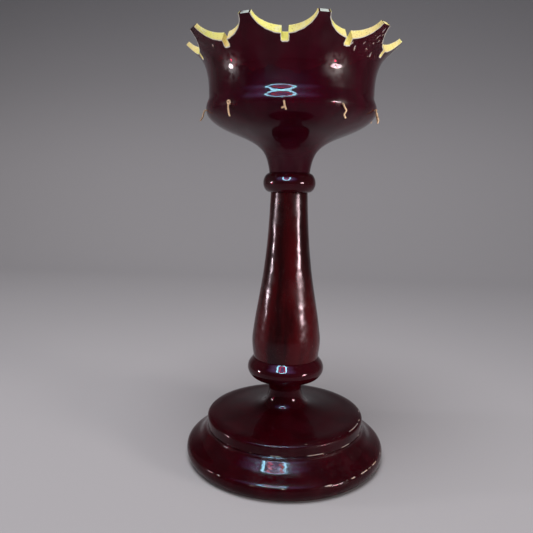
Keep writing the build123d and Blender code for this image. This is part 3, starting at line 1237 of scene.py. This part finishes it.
    def fan(self, base: Array, edge: Array, side: Side, rows: int = 18) -> Array:
        """Spread rows over a side of the wall between a level base and the cut edge.

        Height and turn go evenly from the base to the edge, and the radius is the wall's at that
        height, so the rows stay on the wall.
        """
        share = np.linspace(0, 1, rows + 2)[1:-1, None]
        height = base[None, :, 2] + (edge[None, :, 2] - base[None, :, 2]) * share
        turn = base[None, :, 1] + (edge[None, :, 1] - base[None, :, 1]) * share
        return np.stack([self.wall_radius(side, height), turn, height], axis=-1)

    def build(self, finishes: Finishes) -> bpy.types.Object:
        """Build the bowl with its ten bays and its drilled holes, and dress it."""
        rows = self.outline_rows()[:, :-1]
        bay = np.arange(BAYS)[None, :, None] * BAY_ANGLE
        turn = (rows[:, None, :, 1] + bay).reshape(len(rows), -1)
        radius, height = (np.tile(rows[..., i], (1, BAYS)) for i in (0, 2))
        rings = around(radius, turn, height)
        columns = rings.shape[1]
        poles = np.array([[0, 0, self.bottom + JOINT_GAP], [0, 0, self.floor_line[0, 1]]])
        piece = write_mesh(
            "bowl_glass",
            np.concatenate([rings.reshape(-1, 3), poles]),
            grid_faces(len(rows), columns, False, True),
            pole_faces(len(rows), columns),
        )
        bored(piece, self.drills())
        return dressed(piece, finishes.bowl_glass, stands_for=["bowl"])

    def drills(self) -> bpy.types.Object:
        """Make the ten drills of the hanger holes: round rods along each bay's radius."""
        spin = np.arange(24) * 2 * pi / 24
        reach = np.array([self.radius - 14.0, self.radius + 6.0])
        bay = (np.arange(BAYS) * BAY_ANGLE)[:, None, None]
        out, side = reach[None, :, None], self.hole_radius * np.sin(spin)[None, None, :]
        level = self.widest - self.hole_below_shoulder + self.hole_radius * np.cos(spin)[None, None, :]
        x = out * np.sin(bay) + side * np.cos(bay)
        y = -out * np.cos(bay) + side * np.sin(bay)
        points = np.stack(np.broadcast_arrays(x, y, level), axis=-1)
        size = 2 * len(spin)
        quads = np.concatenate([grid_faces(2, len(spin), False, True) + b * size for b in range(BAYS)])
        mesh = bpy.data.meshes.new("drills")
        caps = [
            [b * size + i for i in order]
            for b in range(BAYS)
            for order in (range(len(spin) - 1, -1, -1), range(len(spin), size))
        ]
        mesh.from_pydata((points.reshape(-1, 3) * MM).tolist(), [], quads.tolist() + caps)
        drills = bpy.data.objects.new("drills", mesh)
        bpy.context.scene.collection.objects.link(drills)
        return drills


def both_halves(half: Array) -> Array:
    """Mirror rows of radius, turn and height of half a bay into rows of the whole bay."""
    return np.concatenate([half[:, :0:-1] * (1, -1, 1), half], axis=1)


@dataclass
class GiltEdges:
    """The fired gilding on the scallops and slots, lapped a little over both edges of the wall."""

    bowl: Bowl
    lap: float = 0.30
    film: float = 0.045
    worn_rows: tuple[int, ...] = (0, 1, 2, 3, 9, 10, 11, 12)

    def bay(self, number: int) -> tuple[Array, Array]:
        """Make the gilding of one bay as a closed sheet.

        Its section starts on the outside of the wall, a ragged lap away from the cut, goes round the
        edge, over the cut face and round the inner edge, and ends on the inside.

        Args:
            number: the bay, from 0.

        Returns:
            The points and faces.
        """
        bowl = self.bowl
        step = np.arange(bowl.edge_points)
        rag = 1 + 0.4 * np.sin(1.9 * step + 2.3 * number) + 0.3 * np.sin(4.1 * step + 1.1 * number)
        ragged = bowl.gilding + self.lap * rag
        near, edge = bowl.gilding * 0.6, 0.03
        half_front = [
            bowl.on_wall(ragged, Side.OUTER, 0.012),
            bowl.on_wall(ragged * 0.86, Side.OUTER, self.film),
            bowl.on_wall(near, Side.OUTER, self.film),
            bowl.on_wall(edge, Side.OUTER, 0.0),
            *(bowl.across_wall(0.0, share) for share in (0.03, 0.25, 0.5, 0.75, 0.97)),
            bowl.on_wall(edge, Side.INNER, 0.0),
            bowl.on_wall(near, Side.INNER, self.film),
            bowl.on_wall(ragged * 0.86, Side.INNER, self.film),
            bowl.on_wall(ragged, Side.INNER, 0.012),
        ]
        behind = bowl.gilding - 0.03
        half_back = [
            bowl.on_wall(ragged * 0.98, Side.OUTER, 0.004),
            bowl.on_wall(ragged * 0.86, Side.OUTER, 0.004),
            bowl.on_wall(bowl.gilding, Side.OUTER, 0.004),
            bowl.across_wall(behind, 0.005),
            *(bowl.across_wall(behind, share) for share in (0.03, 0.25, 0.5, 0.75, 0.97)),
            bowl.across_wall(behind, 0.995),
            bowl.on_wall(bowl.gilding, Side.INNER, 0.004),
            bowl.on_wall(ragged * 0.86, Side.INNER, 0.004),
            bowl.on_wall(ragged * 0.98, Side.INNER, 0.004),
        ]
        grids = []
        for rows in (half_front, half_back):
            bay = both_halves(np.array(rows))
            grids.append(around(bay[..., 0], bay[..., 1] + number * BAY_ANGLE, bay[..., 2]))
        return sheet_parts(*grids)

    def build(self, finishes: Finishes) -> bpy.types.Object:
        """Build and dress the gilding of all the bays, and mark its worn borders."""
        piece = joined_sheets("gilt_edges_worn", [self.bay(number) for number in range(BAYS)])
        worn = np.zeros((2 * BAYS, 13, 2 * self.bowl.edge_points - 1), np.float32)
        worn[:, self.worn_rows] = 1.0
        marks = piece.data.attributes.new("worn_edge", "FLOAT", "POINT")
        marks.data.foreach_set("value", worn.ravel())
        return dressed(piece, finishes.gilding, stands_for=["gilt_edges"])


@dataclass
class TabFaces:
    """The last streaks of gold and silver on the outer faces of the two side tabs."""

    bowl: Bowl
    tabs: tuple[int, ...] = (1, 8)
    low: float = 321.5
    margin: float = 0.5
    film: float = 0.03

    def face(self, number: int) -> tuple[Array, Array]:
        """Make the film on one tab, which lies between this bay and the next, as a closed sheet.

        Its heights go evenly from the low line to just under the rim, its turns from one scallop's
        edge to the next one's at each height, and its radius is the wall's at that height.
        """
        bowl = self.bowl
        edge = bowl.on_wall(bowl.gilding, Side.OUTER)[bowl.slot_steps + bowl.side_steps + 1 :]
        height = np.linspace(self.low, bowl.rim[1] - self.margin, 16)[:, None]
        start = np.interp(height, edge[:, 2], edge[:, 1]) + self.margin / bowl.radius
        turn = start + (BAY_ANGLE - 2 * start) * np.linspace(0, 1, 12)
        radius = bowl.wall_radius(Side.OUTER, height)
        grids = [
            around(radius + gap + 0 * turn, turn + number * BAY_ANGLE, height) for gap in (self.film, 0.008)
        ]
        return sheet_parts(*grids)

    def build(self, finishes: Finishes) -> bpy.types.Object:
        """Build and dress the streaks."""
        piece = joined_sheets("tab_faces_worn", [self.face(n) for n in self.tabs])
        return dressed(piece, finishes.gilt_streaks)


@dataclass
class FootLines:
    """What is left of the gold lines round the foot: on the disc's edge, its band and the skirt."""

    foot: Foot
    film: float = 0.04
    lines: tuple = (("disc", (64.6, 36.6), 0.6), ("band", (66.6, 28.6), 0.6), ("skirt", (83.2, 12.0), 0.7))

    def outline(self, middle: Point, width: float) -> Array:
        """Sample the closed section of a line: along the foot's outside and back under itself."""
        side = self.foot.outside()
        at = np.concatenate([[0.0], np.cumsum(np.linalg.norm(np.diff(side, axis=0), axis=1))])
        centre = at[np.argmin(np.linalg.norm(side - np.asarray(middle), axis=1))]
        steps = centre + np.linspace(-0.5, 0.5, 6) * width
        place = [
            np.stack([np.interp(steps + d, at, side[:, i]) for i in (0, 1)], axis=-1) for d in (-0.2, 0, 0.2)
        ]
        return np.concatenate(
            [moved_in(*place, -self.film), moved_in(*place, -0.008)[::-1]]
        )

    def build(self, finishes: Finishes) -> list[bpy.types.Object]:
        """Build and dress the lines."""
        return [
            dressed(
                turned_piece(f"gilt_line_{name}", self.outline(middle, width), Closing.LOOP),
                finishes.gilt_lines,
            )
            for name, middle, width in self.lines
        ]


@dataclass
class TabTops:
    """What is left on the flat tops of the tabs: gold on some, pale ground glass on others."""

    bowl: Bowl
    film: float = 0.03
    gilded: tuple[int, ...] = (1, 4, 7)
    rubbed: tuple[int, ...] = (0, 3, 6, 9)

    def top(self, number: int) -> tuple[Array, Array]:
        """Make the film on one tab, which lies between this bay and the next, as a closed sheet."""
        outer, inner = (self.bowl.tab(side) for side in Side)
        share = np.linspace(0.06, 0.94, 5)[:, None, None]
        half = outer[None] + (inner - outer)[None] * share
        half[..., 1] = BAY_ANGLE / 2 + (half[..., 1] - BAY_ANGLE / 2) * 0.96
        facet = np.array([self.bowl.lip[0] - self.bowl.rim[0], self.bowl.lip[1] - self.bowl.rim[1]])
        lift = np.array([facet[1], 0.0, -facet[0]]) / np.hypot(*facet)
        mirrored = half[:, ::-1] * (1, -1, 1) + (0, BAY_ANGLE, 0)
        whole = np.concatenate([half, mirrored[:, 1:]], axis=1)
        whole[..., 1] += number * BAY_ANGLE
        grids = [around(*np.moveaxis(whole + lift * gap, -1, 0)) for gap in (self.film, 0.006)]
        return sheet_parts(*grids)

    def build(self, finishes: Finishes) -> list[bpy.types.Object]:
        """Build and dress the gilded and the rubbed tab tops."""
        gilded = joined_sheets("tab_tops_gilded", [self.top(n) for n in self.gilded])
        rubbed = joined_sheets("tab_tops_rubbed", [self.top(n) for n in self.rubbed])
        return [
            dressed(gilded, finishes.gilding),
            dressed(rubbed, finishes.ground),
        ]


@dataclass
class HangerWires:
    """The brass wires in the holes of the shoulder."""

    names: tuple[str, ...] = tuple(f"hanger_wire_{bay:02d}" for bay in range(1, BAYS + 1))

    def dress(self, nodes: dict[str, bpy.types.Object], finishes: Finishes) -> None:
        """Give every wire its brass."""
        for name in self.names:
            nodes[name].data.materials.clear()
            nodes[name].data.materials.append(finishes.brass)
            log.info("%s: dressed in brass", name)


# --- Studio -----------------------------------------------------------------------------------------

RED: Colour = (1.0, 0.02, 0.12)


@dataclass(frozen=True)
class Lamp:
    """A studio lamp: an oval that faces the lustre, its height upright."""

    name: str
    place: tuple[float, float, float]
    aim: tuple[float, float, float]
    width: float
    height: float
    watts: float
    colour: Colour = (1.0, 1.0, 1.0)
    spread: float = 180.0
    mirrored: bool = True
    for_glass: bool = False

    def build(self, mirrors: bpy.types.Collection) -> bpy.types.Object:
        """Put the lamp in its place, aimed, and linked to the glass alone where it is for the glass."""
        data = bpy.data.lights.new(self.name, "AREA")
        data.shape, data.size, data.size_y = "ELLIPSE", self.width, self.height
        data.energy, data.color, data.spread = self.watts, self.colour, radians(self.spread)
        lamp = bpy.data.objects.new(self.name, data)
        bpy.context.scene.collection.objects.link(lamp)
        lamp.location = self.place
        lamp.rotation_mode = "QUATERNION"
        lamp.rotation_quaternion = (Vector(self.aim) - Vector(self.place)).to_track_quat("-Z", "Y")
        lamp.visible_camera, lamp.visible_glossy = False, self.mirrored
        if self.for_glass:
            lamp.light_linking.receiver_collection = mirrors
        return lamp


@dataclass(frozen=True)
class RingLamp:
    """A ring lamp, or the soft glow about one: a flat oval ring that only the glass mirrors.

    A glow is brightest at its inner edge and fades to nothing at its outer edge.
    """

    name: str
    place: tuple[float, float, float]
    inner: float
    outer: float
    colour: Colour
    level: float
    wide: float = 1.0
    glow: bool = False
    aim: tuple[float, float, float] = (0.0, 0.0, 0.17)

    def build(self, mirrors: bpy.types.Collection) -> bpy.types.Object:
        """Build the ring, row by row from its inner radius to its outer one, facing its aim."""
        rows, columns = (12, 64) if self.glow else (2, 64)
        turn = np.arange(columns) * 2 * pi / columns
        radii = np.linspace(self.inner, self.outer, rows)[:, None]
        flat = np.stack([self.wide * radii * np.cos(turn), radii * np.sin(turn), 0 * radii * turn], axis=-1)
        way = (Vector(self.aim) - Vector(self.place)).to_track_quat("Z", "Y").to_matrix()
        points = flat.reshape(-1, 3) @ np.array(way).T + np.array(self.place)
        ring = write_mesh(self.name, points / MM, grid_faces(rows, columns, False, True))
        kept = np.linspace(1.0, 0.0, rows) ** 2 if self.glow else np.ones(rows)
        shine = ring.data.attributes.new("shine", "FLOAT", "POINT")
        shine.data.foreach_set("value", np.repeat(self.level * kept, columns).astype(np.float32))
        material, nodes = new_material(f"{self.name}_light")
        level = nodes.add("ShaderNodeAttribute", attribute_name="shine").outputs["Fac"]
        light = nodes.add("ShaderNodeEmission", {"Color": (*self.colour, 1.0), "Strength": level})
        nodes.add("ShaderNodeOutputMaterial", {"Surface": light.outputs["Emission"]})
        ring.data.materials.append(material)
        ring.visible_camera = ring.visible_diffuse = ring.visible_shadow = False
        ring.light_linking.receiver_collection = mirrors
        return ring


@dataclass
class Studio:
    """The camera, the pale floor and backdrop, with painted shade that darkens the wall towards its top, and
    the lamps.
    """

    camera_place: tuple[float, float, float] = (0.0315, -0.4452, 0.2294)
    heading: float = atan2(-0.110, 0.994)
    pitch: float = radians(8.48)
    roll: float = radians(0.887)
    lens: float = 36.37
    floor_colour: Colour = (0.47, 0.45, 0.475)
    # Painted shade: between these two heights the wall fades from the floor's colour to this darker grey,
    # standing in for light that falls off up the wall.
    wall_painted_shade_colour: Colour = (0.19, 0.185, 0.20)
    wall_painted_shade_fades: tuple[float, float] = (0.20, 1.10)
    floor_half_width: float = 2.2
    floor_front: float = -1.6
    wall_from: float = 0.9
    bend_radius: float = 0.6
    wall_height: float = 2.6
    world_level: float = 0.12
    lamps: tuple[Lamp, ...] = (
        Lamp("left_lamp", (-1.43, -0.25, 0.27), (0, 0, 0.22), 0.18, 0.13, 0.52, (1.0, 0.97, 0.98), 50),
        Lamp("right_lamp", (1.24, -0.66, 0.27), (0, 0, 0.22), 0.40, 0.15, 1.05, (1.0, 0.95, 0.90), 50),
        Lamp("over_lamp", (-0.1, -0.5, 1.9), (0, 0.1, 0.1), 1.3, 1.3, 29, mirrored=False),
        Lamp("left_red_lamp", (-1.42, -0.30, 0.12), (0, 0, 0.22), 0.10, 0.07, 1.3, RED, for_glass=True),
        Lamp("right_red_lamp", (1.22, -0.72, 0.12), (0, 0, 0.22), 0.10, 0.07, 1.3, RED, for_glass=True),
    )
    rings: tuple[RingLamp, ...] = (
        RingLamp("ring_lamp", (-0.06, -0.34, 0.49), 0.101, 0.13, (0.30, 0.94, 1.0), 80.0),
        RingLamp("red_ring_lamp", (-0.045, -0.34, 0.49), 0.062, 0.082, RED, 22.0),
        RingLamp(
            "ring_lamp_glow", (-0.064, -0.36, 0.51), 0.002, 0.26, (0.52, 0.42, 1.0), 9.0, wide=2.2, glow=True
        ),
    )

    def camera(self) -> None:
        """Set the camera where the photograph was taken from, turned and rolled as it was."""
        ahead = cos(self.pitch)
        forward = Vector((sin(self.heading) * ahead, cos(self.heading) * ahead, -sin(self.pitch)))
        level = forward.cross(Vector((0, 0, 1))).normalized()
        upright = level.cross(forward)
        right = level * cos(self.roll) + upright * sin(self.roll)
        up = upright * cos(self.roll) - level * sin(self.roll)
        data = bpy.data.cameras.new("camera")
        data.lens, data.sensor_width = self.lens, 36.0
        data.clip_start, data.clip_end = 0.01, 20.0
        camera = bpy.data.objects.new("camera", data)
        bpy.context.scene.collection.objects.link(camera)
        turn = Matrix((right, up, -forward)).transposed().to_4x4()
        camera.matrix_world = Matrix.Translation(self.camera_place) @ turn
        bpy.context.scene.camera = camera

    def sweep(self) -> bpy.types.Object:
        """Build the floor and backdrop as one sheet: flat, then a quarter circle, then upright, with the wall
        painted darker upwards as painted shade.
        """
        turn = np.linspace(0, pi / 2, 16)
        floor = straight((self.floor_front, 0.0), (self.wall_from, 0.0), 12)
        bend = np.stack(
            [self.wall_from + self.bend_radius * np.sin(turn), self.bend_radius * (1 - np.cos(turn))], 1
        )
        wall = straight(tuple(bend[-1]), (bend[-1, 0], self.wall_height), 8)
        line = np.concatenate([floor, bend[1:], wall[1:]])
        across = np.linspace(-self.floor_half_width, self.floor_half_width, 9)
        points = np.stack(np.broadcast_arrays(across[None], line[:, :1], line[:, 1:]), axis=-1)
        sheet = write_mesh("studio_floor", points.reshape(-1, 3) / MM, grid_faces(len(line), 9, False, False))
        material, nodes = new_material("floor_paper")
        place = nodes.add("ShaderNodeTexCoord").outputs["Object"]
        height = nodes.add("ShaderNodeSeparateXYZ", {"Vector": place}).outputs["Z"]
        # Painted shade: the colour darkens with height, standing in for light that falls off up the wall.
        high = nodes.ramp(height, *self.wall_painted_shade_fades)
        surface = nodes.add(
            "ShaderNodeBsdfPrincipled",
            {
                "Base Color": nodes.blend(high, (*self.floor_colour, 1.0), (*self.wall_painted_shade_colour, 1.0)),
                "Roughness": 0.85,
                "Specular IOR Level": 0.15,
            },
        )
        nodes.add("ShaderNodeOutputMaterial", {"Surface": surface.outputs["BSDF"]})
        sheet.data.materials.append(material)
        return sheet

    def build(self, glass: Sequence[bpy.types.Object]) -> None:
        """Build the whole studio, with the pieces of glass that mirror the lamps kept for them."""
        self.camera()
        self.sweep()
        mirrors = bpy.data.collections.new("mirrors")
        for piece in glass:
            mirrors.objects.link(piece)
        for lamp in (*self.lamps, *self.rings):
            lamp.build(mirrors)
        world = bpy.data.worlds.new("studio")
        world.use_nodes = True
        nodes = Nodes(world.node_tree)
        grey = nodes.add("ShaderNodeBackground", {"Color": (1, 1, 1, 1), "Strength": self.world_level})
        nodes.add("ShaderNodeOutputWorld", {"Surface": grey.outputs["Background"]})
        bpy.context.scene.world = world
        bpy.context.scene.view_settings.view_transform = "Standard"


def main() -> None:
    """Load the frame, build and dress every piece, and set up the studio."""
    logging.basicConfig(level=logging.INFO, format="%(name)s: %(message)s")
    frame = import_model()
    finishes = Finishes.make()
    foot = Foot()
    knop = LowerKnop(bottom=foot.top)
    stem = Stem(bottom=knop.top)
    ring = NeckRing(bottom=stem.top)
    bowl = Bowl(bottom=ring.top)
    glass = [part.build(finishes) for part in (foot, knop, ring, bowl)]
    stem.build(finishes)
    GiltEdges(bowl).build(finishes)
    TabTops(bowl).build(finishes)
    TabFaces(bowl).build(finishes)
    FootLines(foot).build(finishes)
    HangerWires().dress(frame["nodes"], finishes)
    Studio().build(glass)


if __name__ == "__main__":
    main()
